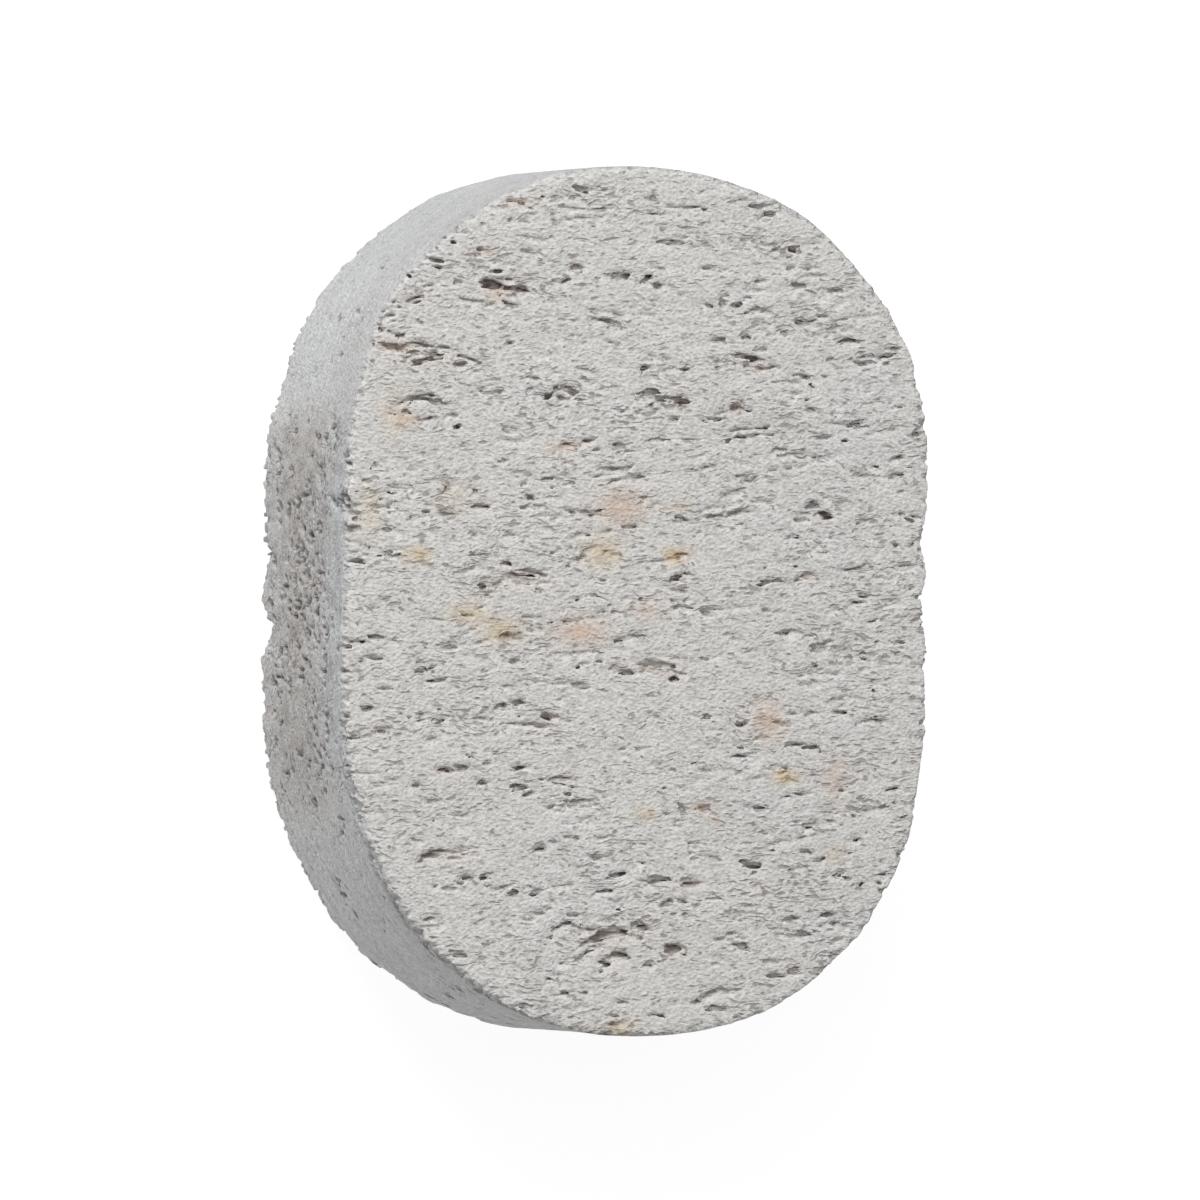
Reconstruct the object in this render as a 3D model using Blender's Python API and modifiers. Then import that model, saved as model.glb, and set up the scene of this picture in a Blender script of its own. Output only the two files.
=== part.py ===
"""Pumice stone: a flat oval bar of natural pumice for rubbing skin, sawn flat on both faces.

It lies on its back face. +X runs across the width, along the fibres of the stone, +Y runs
along the length, and +Z is the front face's normal. The origin is at the bottom centre.
"""

import math

import bmesh
import bpy
import numpy as np
from mathutils import Matrix

MM = 0.001

# The plain oval bar, in millimetres, before its outline is worn.
LENGTH = 90.0
WIDTH = 64.0
THICKNESS = 26.0
STRAIGHT_HALF = 10.7
END_POWER = 2.12
RIM_RADIUS = 0.6
RIM_SEGMENTS = 1
OUTLINE_SEGMENTS = 108
WALL_RINGS = 4

# Swells (+) and hollows (-) of the outline: angle and spread in degrees from +X,
# then the amount at the front rim and at the back rim in millimetres.
OUTLINE_SWELLS = (
    (-6.0, 20.0, -0.55, -0.30),
    (11.0, 3.5, -0.45, -0.10),
    (40.0, 14.0, 0.30, 0.20),
    (80.0, 14.0, -0.30, -0.25),
    (131.0, 10.0, 0.70, 0.20),
    (193.0, 10.0, 0.35, 0.10),
    (244.3, 3.0, -0.10, -0.80),
    (292.0, 12.0, 0.45, 0.25),
)
SCALLOP_HEIGHT = 0.22
SCALLOP_WAVES = (17, 26, 35)
WALL_SAG = 0.15

# Pores of the front face: x, y, length along x and height along y in millimetres,
# and the tilt of the pore's long axis in degrees.
FRONT_PORES = (
    # upper left
    (-25.7, 26.0, 3.8, 0.9, 0), (-22.6, 24.8, 3.9, 0.8, 14), (-15.6, 32.3, 2.4, 1.1, -22),
    (-13.6, 31.9, 3.4, 0.7, -2), (-19.2, 24.2, 1.2, 0.5, 5), (-24.3, 30.8, 1.9, 0.7, 12),
    (-15.2, 33.8, 1.3, 0.4, 0), (-6.4, 34.1, 1.4, 0.9, -10), (-6.1, 42.4, 1.4, 0.5, 0),
    (-1.6, 33.3, 1.7, 0.5, 6), (-3.7, 28.8, 2.6, 0.4, -12), (-12.9, 41.0, 3.2, 0.4, -5),
    (-16.5, 35.9, 1.5, 0.5, -8), (-26.0, 27.1, 1.6, 0.5, -15), (-14.0, 30.4, 1.6, 0.4, -14),
    # upper right
    (1.2, 33.2, 1.1, 0.6, 15), (9.8, 34.2, 1.3, 0.4, 8), (11.7, 30.9, 1.5, 0.6, 30),
    (13.7, 29.9, 2.6, 0.5, -10), (12.1, 27.1, 1.3, 0.5, 5), (9.2, 26.9, 1.4, 0.5, 8),
    (11.9, 25.1, 2.9, 0.6, -4), (13.4, 24.0, 2.4, 0.7, -18), (23.8, 26.7, 2.0, 0.6, -6),
    (27.6, 25.3, 1.7, 0.5, 12), (25.3, 24.5, 1.8, 0.4, 3), (17.5, 36.3, 1.5, 0.5, 0),
    (17.9, 32.4, 2.1, 0.6, -20), (14.5, 39.9, 2.2, 0.5, 14), (1.8, 41.3, 1.3, 0.5, 0),
    (2.7, 39.8, 1.5, 0.4, -8), (4.1, 36.9, 3.2, 0.4, 3), (18.7, 28.6, 1.5, 0.4, 0),
    (18.7, 22.6, 1.7, 0.5, -15),
    # middle left
    (-24.6, 20.7, 1.9, 0.9, 22), (-22.8, 21.0, 2.2, 0.7, -3), (-20.4, 18.8, 1.7, 0.4, 18),
    (-22.6, 18.5, 1.6, 0.4, 14), (-9.2, 21.6, 1.3, 0.8, 45), (-7.9, 21.9, 2.2, 0.5, -8),
    (-7.9, 15.9, 1.2, 0.5, 10), (-5.4, 16.3, 1.1, 0.5, -10), (-1.9, 15.8, 1.1, 0.6, 0),
    (-1.1, 12.8, 2.6, 0.5, -4), (-30.7, 3.8, 1.7, 0.5, 4), (-16.7, 1.3, 1.1, 0.8, 5),
    (-13.6, 1.9, 4.6, 1.2, 2), (-10.2, 1.7, 1.8, 0.5, 5), (-2.7, 4.6, 1.3, 0.4, -15),
    (-0.8, 7.4, 1.4, 0.6, -8), (-17.2, 9.6, 2.0, 0.5, -4),
    # middle right
    (4.5, 20.6, 2.4, 1.1, -6), (2.3, 20.2, 1.8, 0.6, 12), (11.1, 19.8, 1.6, 1.2, 0),
    (9.0, 19.1, 1.8, 0.5, 32), (4.0, 18.7, 1.6, 0.5, 4), (19.6, 19.5, 1.1, 0.7, 0),
    (24.3, 18.3, 1.6, 0.5, 14), (15.7, 15.4, 1.9, 0.6, 6), (20.9, 8.7, 1.6, 0.8, 4),
    (16.9, 13.7, 1.7, 0.4, 3), (25.3, 12.9, 1.9, 0.4, -6), (18.9, 2.4, 2.1, 0.8, 2),
    (14.9, 1.9, 2.6, 0.6, 0), (23.9, 3.1, 2.4, 0.4, 6), (4.4, 2.1, 1.2, 0.7, 10),
    (25.3, 0.4, 1.2, 0.5, -4), (11.6, 9.0, 2.2, 0.5, 4), (19.2, 9.6, 1.5, 0.4, 5),
    (28.8, 14.7, 1.4, 0.4, -6), (29.0, 12.9, 1.7, 0.4, 3),
    # lower left
    (-12.9, -10.7, 1.9, 0.6, 12), (-14.8, -11.1, 1.8, 0.5, 6), (-9.6, -12.2, 1.2, 0.9, 0),
    (-11.3, -13.0, 1.5, 0.4, 3), (-16.3, -16.9, 1.2, 0.6, 0), (-19.1, -17.4, 1.2, 0.6, 0),
    (-20.9, -17.7, 1.7, 0.7, 8), (-12.4, -17.5, 1.8, 0.5, 0), (-7.8, -18.8, 2.3, 1.0, 2),
    (-12.9, -19.4, 2.5, 0.6, -3), (-11.6, -20.1, 1.7, 0.5, 12), (-5.7, -20.8, 1.3, 0.5, -14),
    (-1.4, -7.4, 1.8, 0.8, -5), (-6.4, -8.8, 1.9, 0.5, -8), (-1.1, -4.1, 2.0, 0.4, 5),
    (-23.3, -7.3, 2.0, 0.5, 5), (-21.9, -8.4, 1.9, 0.4, 14), (-28.8, -4.1, 2.6, 0.4, 4),
    (-29.3, -11.2, 1.2, 0.5, 0), (-27.7, -13.5, 1.4, 0.7, -15), (-22.3, -14.4, 1.3, 0.5, 5),
    (-19.4, -26.6, 1.8, 0.8, 5), (-21.9, -26.3, 2.8, 0.9, -6), (-18.4, -28.7, 1.3, 0.6, 0),
    (-16.7, -28.6, 1.5, 0.6, 26), (-13.6, -30.2, 1.8, 0.7, 10), (-11.1, -30.4, 1.5, 0.5, 14),
    (-22.7, -33.0, 1.4, 0.5, 2), (-10.6, -25.8, 1.4, 0.4, 10), (-4.2, -26.6, 1.9, 0.4, 5),
    (-2.0, -28.6, 2.0, 0.5, -2), (-7.7, -33.7, 2.9, 0.5, 4), (-6.4, -34.3, 1.4, 0.4, 15),
    (-2.6, -34.4, 4.0, 0.8, 12), (0.2, -33.9, 2.2, 0.9, -16), (-3.7, -35.4, 3.2, 0.6, 6),
    (-2.6, -37.1, 3.4, 0.9, 19), (-3.2, -30.3, 2.6, 0.4, -6),
    # lower right
    (2.4, -7.0, 3.2, 1.2, -8), (4.3, -8.3, 1.2, 0.7, 10), (7.5, -1.3, 1.4, 0.5, -16),
    (17.1, -3.4, 1.5, 0.6, 5), (20.2, -5.0, 2.0, 0.6, 15), (25.2, -6.2, 1.1, 0.5, -5),
    (24.4, -0.4, 1.7, 0.4, 6), (22.4, -11.8, 1.8, 0.5, -12), (19.5, -11.8, 1.6, 0.4, 6),
    (26.6, -12.6, 3.1, 0.6, -3), (18.0, -15.2, 1.8, 0.6, -18), (19.8, -15.6, 1.4, 0.6, -5),
    (18.4, -20.2, 1.8, 0.4, 0), (28.5, -19.7, 1.5, 0.4, 10), (5.0, -21.8, 1.3, 0.5, -58),
    (7.2, -21.7, 1.6, 0.6, -18), (13.6, -21.7, 2.1, 0.4, -8), (6.9, -18.6, 1.3, 0.4, 2),
    (4.5, -36.3, 2.1, 1.0, -5), (1.3, -37.9, 2.0, 0.5, 3), (17.4, -38.6, 1.2, 1.1, 0),
    (11.3, -35.8, 1.6, 0.5, 0), (5.7, -29.4, 2.1, 0.7, 2), (2.7, -29.1, 3.4, 0.5, 4),
    (12.7, -27.6, 2.0, 0.5, -14), (19.3, -23.5, 1.5, 0.6, 12), (21.3, -23.2, 1.4, 0.5, 10),
    (24.3, -25.0, 1.6, 0.6, 20), (18.7, -26.2, 1.6, 0.4, -18), (21.8, -33.8, 2.2, 0.4, -8),
    (18.4, -34.8, 1.6, 0.4, 0), (16.7, -33.3, 1.5, 0.4, 12), (2.4, -43.1, 1.9, 0.5, -12),
    (9.2, -42.4, 2.2, 0.4, -5), (8.6, -41.0, 3.4, 0.6, 12),
)

# Crumbled spots of the front rim: angle from +X in degrees, then the length along x,
# the height along y and the depth, all in millimetres.
RIM_CHIPS = (
    (119.0, 2.6, 1.2, 1.0), (123.5, 1.8, 1.3, 1.3), (128.0, 2.2, 0.9, 0.9),
    (134.0, 1.9, 1.9, 1.1), (138.5, 2.4, 1.5, 1.4), (163.5, 2.2, 1.3, 1.5),
    (167.5, 2.4, 1.0, 1.2), (201.0, 1.6, 1.3, 1.2), (207.5, 2.4, 1.2, 1.2),
    (15.6, 2.2, 0.7, 1.0), (29.5, 1.2, 1.1, 1.1), (302.5, 2.0, 0.7, 1.0),
)

# Pores scattered over each side: how many, and their smallest and largest length.
FRONT_SMALL_PORES = 12
BACK_PORES = 52
WALL_PORES = 48
CLEAR_SPOT_RADIUS = 2.5
PORE_GAP = 0.35

# A pore is a ball drawn out along x: sides around x, then steps along x. Narrow slits have less.
PORE_FACETS = (6, 4)
SLIT_FACETS = (4, 3)
SLIT_HEIGHT = 0.55
SEED = 1809


def oval_radius(angle):
    """Distance in millimetres from the centre to the plain oval, for each angle in radians."""
    across, along = np.abs(np.cos(angle)), np.abs(np.sin(angle))
    inside, outside = np.zeros_like(angle), np.full_like(angle, LENGTH)
    for _ in range(40):
        middle = (inside + outside) / 2
        x = middle * across / (WIDTH / 2)
        y = np.maximum(middle * along - STRAIGHT_HALF, 0) / (LENGTH / 2 - STRAIGHT_HALF)
        is_inside = x ** END_POWER + y ** END_POWER < 1
        inside = np.where(is_inside, middle, inside)
        outside = np.where(is_inside, outside, middle)
    return inside


def wall_radius(angle, height):
    """Radius of the worn wall at each angle; height is 0 at the back rim, 1 at the front."""
    radius = oval_radius(angle)
    for centre, spread, front, back in OUTLINE_SWELLS:
        away = np.degrees(np.angle(np.exp(1j * (angle - math.radians(centre)))))
        radius = radius + np.exp(-(away / spread) ** 2) * (back + (front - back) * height)
    for number, waves in enumerate(SCALLOP_WAVES):
        scallop = np.sin(waves * angle + 2.1 * number) / len(SCALLOP_WAVES)
        radius = radius + 2 * SCALLOP_HEIGHT * scallop * (1 - height) ** 3
    return radius - WALL_SAG * np.sin(3 * angle + 1) * np.sin(math.pi * height)


def outline_centre():
    """Middle of the worn outline's box, in millimetres; it becomes the part's origin."""
    angle = np.arange(OUTLINE_SEGMENTS) * 2 * math.pi / OUTLINE_SEGMENTS
    rings = [wall_radius(angle, ring / WALL_RINGS) for ring in range(WALL_RINGS + 1)]
    x, y = rings * np.cos(angle), rings * np.sin(angle)
    return (x.max() + x.min()) / 2, (y.max() + y.min()) / 2


CENTRE = outline_centre()


def in_frame(x, y, z):
    """A place in the part's frame, in metres, from one on the outline, in millimetres."""
    return (x - CENTRE[0]) * MM, (y - CENTRE[1]) * MM, z * MM


def make_material(name, color, roughness):
    material = bpy.data.materials.new(name)
    material.use_nodes = True
    shader = material.node_tree.nodes["Principled BSDF"]
    shader.inputs["Base Color"].default_value = (*color, 1)
    shader.inputs["Roughness"].default_value = roughness
    return material


def make_bar(collection):
    """The solid bar: a cylinder with rings up its wall, drawn out to the worn oval."""
    mesh = bmesh.new()
    bmesh.ops.create_cone(mesh, cap_ends=True, segments=OUTLINE_SEGMENTS, radius1=1, radius2=1,
                          depth=1, matrix=Matrix.Translation((0, 0, 0.5)))
    for ring in range(1, WALL_RINGS):
        bmesh.ops.bisect_plane(mesh, geom=mesh.verts[:] + mesh.edges[:] + mesh.faces[:],
                               plane_co=(0, 0, ring / WALL_RINGS), plane_no=(0, 0, 1))
    angle = np.array([math.atan2(vert.co.y, vert.co.x) for vert in mesh.verts])
    height = np.array([vert.co.z for vert in mesh.verts])
    radius = wall_radius(angle, height)
    for vert, turn, reach in zip(mesh.verts, angle, radius):
        vert.co = in_frame(reach * math.cos(turn), reach * math.sin(turn), vert.co.z * THICKNESS)
    data = bpy.data.meshes.new("pumice_stone")
    mesh.to_mesh(data)
    mesh.free()
    bar = bpy.data.objects.new("pumice_stone", data)
    collection.objects.link(bar)
    return bar


def add_pore(mesh, centre, size, tilt, roll):
    """Add one hollow to a cutter mesh: a ball drawn out along x, with its poles on x."""
    segments, rings = SLIT_FACETS if size[1] < SLIT_HEIGHT else PORE_FACETS
    place = (Matrix.Translation(in_frame(*centre))
             @ Matrix.Rotation(math.radians(tilt), 4, "Z")
             @ Matrix.Diagonal([value * MM / 2 for value in size]).to_4x4()
             @ Matrix.Rotation(roll, 4, "X") @ Matrix.Rotation(math.pi / 2, 4, "Y"))
    bmesh.ops.create_uvsphere(mesh, u_segments=segments, v_segments=rings, radius=1, matrix=place)


def chosen_front_pores(random):
    """The pores of FRONT_PORES, each with its depth, as centre, size, tilt and roll."""
    pores = []
    for x, y, length, height, tilt in FRONT_PORES:
        depth = 0.5 + 1.1 * height
        pores.append(((x, y, THICKNESS + 0.12 * depth), (length, height, 2 * depth), tilt,
                      random.uniform(0.1, 0.3)))
    return pores


def rim_chips(random):
    pores = []
    for degrees, length, height, depth in RIM_CHIPS:
        angle = np.array([math.radians(degrees)])
        radius = float(wall_radius(angle, np.ones(1))[0]) - 0.25 * length
        centre = (radius * math.cos(angle[0]), radius * math.sin(angle[0]), THICKNESS + 0.1)
        pores.append((centre, (length, height, 2 * depth), 0, random.uniform(0.1, 0.3)))
    return pores


def is_free(centre, size, taken):
    """True where a new pore leaves PORE_GAP of stone to every pore that is already there."""
    for other, other_size, _, _ in taken:
        if abs(centre[2] - other[2]) > (size[2] + other_size[2]) / 2 + PORE_GAP:
            continue
        across = abs(centre[0] - other[0]) / ((size[0] + other_size[0]) / 2 + PORE_GAP)
        along = abs(centre[1] - other[1]) / ((size[1] + other_size[1]) / 2 + PORE_GAP)
        if math.hypot(across, along) < 1:
            return False
    return True


def scattered_face_pores(random, count, height, taken, longest):
    """Pores strewn over a flat face, clear of each other, of the rim and of the centre."""
    pores = []
    while len(pores) < count:
        angle, spread = random.uniform(-math.pi, math.pi), math.sqrt(random.uniform(0, 1))
        length = random.uniform(0.3, 1) ** 2 * longest
        width = length * random.uniform(0.2, 0.4) + 0.15
        roll, tilt = random.uniform(0.1, 0.3), random.normal(0, 8)
        radius = spread * (float(oval_radius(np.array([angle]))[0]) - 1.6 - length / 2)
        depth = 0.3 + 1.1 * width
        centre = (radius * math.cos(angle), radius * math.sin(angle),
                  height + math.copysign(0.12 * depth, height - THICKNESS / 2))
        size = (length, width, 2 * depth)
        if math.hypot(centre[0], centre[1]) < CLEAR_SPOT_RADIUS + length / 2:
            continue
        if is_free(centre, size, taken + pores):
            pores.append((centre, size, tilt, roll))
    return pores


def scattered_wall_pores(random, count, taken):
    """Pores of the wall: round mouths where it cuts the fibres, slits where it runs along."""
    pores = []
    while len(pores) < count:
        angle = random.uniform(-math.pi, math.pi)
        height = random.uniform(0.1, 0.9)
        length = random.uniform(1.4, 3.2)
        width = random.uniform(0.45, 1.0)
        roll, tilt = random.uniform(0.1, 0.3), random.normal(0, 6)
        radius = float(wall_radius(np.array([angle]), np.array([height]))[0])
        centre = (radius * math.cos(angle), radius * math.sin(angle), height * THICKNESS)
        size = (length, width, width * random.uniform(1, 1.6))
        if is_free(centre, size, taken + pores):
            pores.append((centre, size, tilt, roll))
    return pores


def make_cutter(collection, name, pores):
    mesh = bmesh.new()
    for centre, size, tilt, roll in pores:
        add_pore(mesh, centre, size, tilt, roll)
    data = bpy.data.meshes.new(name)
    mesh.to_mesh(data)
    mesh.free()
    cutter = bpy.data.objects.new(name, data)
    cutter.hide_render = True
    cutter.display_type = "WIRE"
    collection.objects.link(cutter)
    return cutter


def round_rims(bar):
    bevel = bar.modifiers.new("worn rims", "BEVEL")
    bevel.width = RIM_RADIUS * MM
    bevel.segments = RIM_SEGMENTS
    bevel.limit_method = "ANGLE"
    bevel.angle_limit = math.radians(50)


def cut(bar, cutter):
    boolean = bar.modifiers.new(cutter.name, "BOOLEAN")
    boolean.operation = "DIFFERENCE"
    boolean.solver = "EXACT"
    boolean.use_self = True
    boolean.object = cutter


def main():
    for item in list(bpy.data.objects):
        bpy.data.objects.remove(item, do_unlink=True)
    parts = bpy.data.collections.new("pumice stone")
    cutters = bpy.data.collections.new("cutters")
    bpy.context.scene.collection.children.link(parts)
    bpy.context.scene.collection.children.link(cutters)

    random = np.random.default_rng(SEED)
    large = chosen_front_pores(random) + rim_chips(random)
    small = scattered_face_pores(random, FRONT_SMALL_PORES, THICKNESS, large, 2.2)
    back = scattered_face_pores(random, BACK_PORES, 0, [], 4.2)
    wall = scattered_wall_pores(random, WALL_PORES, large + small + back)

    bar = make_bar(parts)
    bar.data.materials.append(make_material("pumice", (0.52, 0.515, 0.49), 0.95))
    round_rims(bar)
    cut(bar, make_cutter(cutters, "large front pores", large))
    cut(bar, make_cutter(cutters, "small front pores", small))
    cut(bar, make_cutter(cutters, "back pores", back))
    cut(bar, make_cutter(cutters, "wall pores", wall))


main()
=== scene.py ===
import math

import bmesh
import bpy
import numpy as np
import openvdb
from mathutils import Matrix, Vector


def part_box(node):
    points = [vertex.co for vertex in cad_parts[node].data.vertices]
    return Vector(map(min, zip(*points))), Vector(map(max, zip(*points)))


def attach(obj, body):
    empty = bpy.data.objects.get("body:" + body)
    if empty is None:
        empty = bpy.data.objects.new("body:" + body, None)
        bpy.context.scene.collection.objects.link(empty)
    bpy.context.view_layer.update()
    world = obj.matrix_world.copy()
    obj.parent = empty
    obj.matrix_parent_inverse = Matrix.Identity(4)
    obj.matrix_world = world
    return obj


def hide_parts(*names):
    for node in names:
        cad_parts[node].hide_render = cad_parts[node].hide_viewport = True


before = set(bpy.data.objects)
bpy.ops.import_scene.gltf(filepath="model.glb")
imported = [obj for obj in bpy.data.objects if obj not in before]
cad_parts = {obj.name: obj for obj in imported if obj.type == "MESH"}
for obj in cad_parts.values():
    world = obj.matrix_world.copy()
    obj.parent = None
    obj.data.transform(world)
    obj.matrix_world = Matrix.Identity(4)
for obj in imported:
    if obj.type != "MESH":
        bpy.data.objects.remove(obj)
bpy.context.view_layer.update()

# Lengths are in millimetres and angles in degrees, unless a comment says otherwise.
MM = 0.001
LOW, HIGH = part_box("pumice_stone")
THICKNESS = (HIGH[2] - LOW[2]) / MM

# The outline that the solid has: a straight-sided oval with swells (+) and hollows (-), each an
# angle and a spread from +X, then the amount at the front rim and at the back rim.
OVAL_LENGTH = 90.0
OVAL_WIDTH = 64.0
STRAIGHT_HALF = 10.7
END_POWER = 2.12
OUTLINE_SWELLS = (
    (-6.0, 20.0, -0.55, -0.30),
    (11.0, 3.5, -0.45, -0.10),
    (40.0, 14.0, 0.30, 0.20),
    (80.0, 14.0, -0.30, -0.25),
    (131.0, 10.0, 0.70, 0.20),
    (193.0, 10.0, 0.35, 0.10),
    (244.3, 3.0, -0.10, -0.80),
    (292.0, 12.0, 0.45, 0.25),
)
# Small swells that only this surface has: the same four numbers.
FINE_SWELLS = (
    (180.0, 50.0, 0.15, 0.55), (40.0, 14.0, 0.30, 0.10), (66.0, 6.0, 0.25, 0.0),
    (104.0, 6.0, 0.20, 0.0), (-42.0, 12.0, 0.25, 0.10), (-115.7, 3.2, 0.05, 0.60),
    (157.0, 7.0, 0.0, 0.45), (-154.0, 8.0, 0.0, 0.70), (-90.0, 25.0, 0.25, 0.25),
    (36.2, 1.5, -0.30, 0.0), (5.4, 2.0, 0.30, 0.0), (0.0, 1.6, -0.30, 0.0),
    (-9.3, 2.5, 0.35, 0.0), (-31.0, 6.0, -0.45, 0.0), (-54.7, 3.0, 0.40, 0.0),
)
SCALLOP_HEIGHT = 0.22
SCALLOP_WAVES = (17, 26, 35)
WALL_SAG = 0.15

# Where the wall turns from smooth to torn and back on the left, and from torn to smooth on
# both sides of +X.
LEFT_TEAR_START = (143, 152)
LEFT_TEAR_END = (212, 224)
RIGHT_TEAR_END = (32, 44)

# The front rim is crisp on this side of the stone and worn on the other.
CRISP_SIDE = -25
CRISP_SHARE = 0.65
RIM_RADIUS = 0.42
RIM_LIMITS = (0.06, 1.1)
FRONT_RIM_LESS = 0.1

# The camera of the photograph: its turn in radians, its distances in metres, its lens and
# sensor in millimetres, and where it sees the centre of the face, in pixels.
CAMERA_TURN = math.radians(19.53)
CAMERA_DISTANCE = 1459.6 * MM
CAMERA_LENS = 423.3
SENSOR = 36.0
CLIP_END = 20.0
FACE_CENTRE_PIXEL = (640.0, 599.5)
PIXELS_PER_METRE = 9667.0
PHOTO_CENTRE = 600.0

# Sample distances along z, x and y; the fibres run along x. The samples go on for MARGINS past
# the bar, and the relief is worked out only where the surface is NEAR.
VOXEL = ((0.10, 0.25, 0.10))
MARGINS = (0.8, 1.6, 1.2)
NEAR = 0.9
WARP = 0.5
SEED = 1809

# The mesh is thinned out to at most FACE_LIMIT triangles, with what lies below the first and to
# the right of the second SQUEEZE_LINE squeezed.
FACE_LIMIT = 197000
SQUEEZE = 0.4
SQUEEZE_LINE = (2.0, 23.0)

# The reach of the mean that tells hollows from flat stone, along z, x and y.
REACH = (0.3, 0.3, 0.3)

# How many small hollows of each kind are strewn, and the size of the smallest.
FRONT_SLITS = 1150
BACK_SLITS = 900
SLIT_LENGTH = 0.32
SLIT_HEIGHT = 0.16
PINHOLES = 1250
PINHOLE_SIZE = 0.24
RIM_CHIPS = 1700
FRONT_CHIP_SIZE = 0.32
BACK_CHIP_SIZE = 0.5
GROOVE_CHIPS = 85
GROOVE_ANGLES = (200, 256)

# A pore's thin slits lie this far apart, and a pit is made of so many hollows.
SLIT_SPACING = 0.22
RIM_PIT_PARTS = 6
WALL_PIT_PARTS = 5

# Colours of the stone, as linear red, green, blue and alpha.
FACE = (0.725, 0.717, 0.698, 1)
FACE_WARM = (0.73, 0.712, 0.685, 1)
FACE_SHADE = (0.45, 0.45, 0.45, 1)
TORN = (0.53, 0.52, 0.51, 1)
TORN_FRONT = (0.55, 0.565, 0.58, 1)
TORN_STREAK = (0.31, 0.28, 0.265, 1)
TORN_BAND = (0.33, 0.29, 0.275, 1)
TORN_BACK = (0.61, 0.605, 0.60, 1)
WORN = (0.665, 0.675, 0.685, 1)
# The smooth walls' colour at their lower end, darkened as painted shade.
WORN_LOW_END_PAINTED_SHADE = (0.605, 0.61, 0.615, 1)
WORN_TOP = (0.50, 0.51, 0.52, 1)
# Painted shade on the smooth walls towards the front rim.
WORN_FRONT_PAINTED_SHADE = (0.38, 0.37, 0.36, 1)
PALE = (0.80, 0.80, 0.80, 1)
PATCH = (0.45, 0.43, 0.41, 1)
DARK_CRUMB = (0.40, 0.38, 0.365, 1)
LIGHT_CRUMB = (0.86, 0.86, 0.85, 1)
FIBRE = (0.32, 0.30, 0.28, 1)
DARK_LINE = (0.36, 0.36, 0.36, 1)
LIGHT_LINE = (0.82, 0.83, 0.84, 1)
SPECK = (0.24, 0.23, 0.22, 1)
# The dark of the fine slits: partly their own tone, partly painted shade.
DASH_TINT_AND_SHADE = (0.21, 0.175, 0.16, 1)
OCHRE = (0.63, 0.465, 0.235, 1)
RUST = (0.61, 0.405, 0.28, 1)
# Painted shade in the pores, with some brown tone of their own.
PORE_TINT_AND_PAINTED_SHADE = (0.15, 0.112, 0.103, 1)

# How far the bump of the material stands out.
BUMP = 0.14

# The lights: the direction to each from the stone, then distance, side and power in metres and
# watts. The world's light grows from -Y to +Y.
LIGHTS = {
    "key": ((-0.30, 0.64, 0.707), 1.2, 0.45, 8.5),
    "overhead": ((-0.11, 0.235, 0.966), 1.5, 1.0, 5.6),
}
WORLD_STRENGTH = (0.1, 0.42)

# The floor: half its side in metres, how far it lies under the stone, its grey, and a glow
# that keeps it as pale as the ground in the photograph.
FLOOR_HALF_SIDE = 3.0
FLOOR_DROP = 0.2
FLOOR_GREY = 0.14
FLOOR_GLOW = 0.92

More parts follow.
